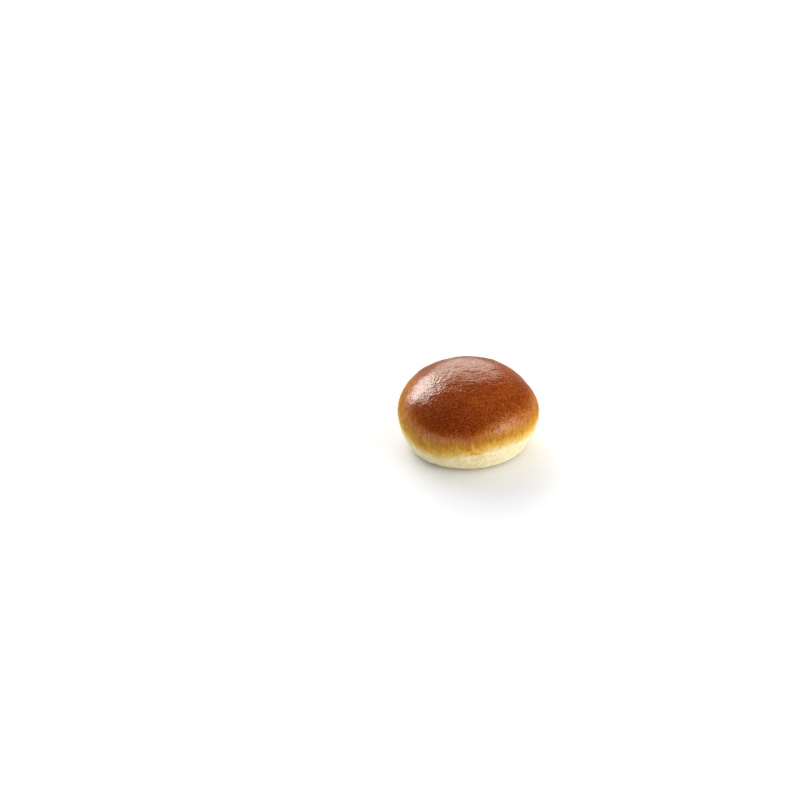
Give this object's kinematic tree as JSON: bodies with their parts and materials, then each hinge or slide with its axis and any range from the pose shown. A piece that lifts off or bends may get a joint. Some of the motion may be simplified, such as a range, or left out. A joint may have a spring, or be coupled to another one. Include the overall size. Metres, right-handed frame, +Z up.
{
  "type": "bread roll",
  "caption": "Round bread roll with a glazed brown dome, a pale lower band and a flat foot.",
  "frame": {"origin": "middle of the foot print, on the surface that the roll stands on", "axes": "+Z up through the top of the dome, -Y towards the side that the picture shows"},
  "size_m": [0.0958, 0.096, 0.0547],
  "materials": {
    "crust": "baked crust: glazed and reddish brown on the dome, golden at the widest ring, pale and matte below"
  },
  "bodies": {
    "root": {"bread_roll": "crust"}
  },
  "joints": []
}
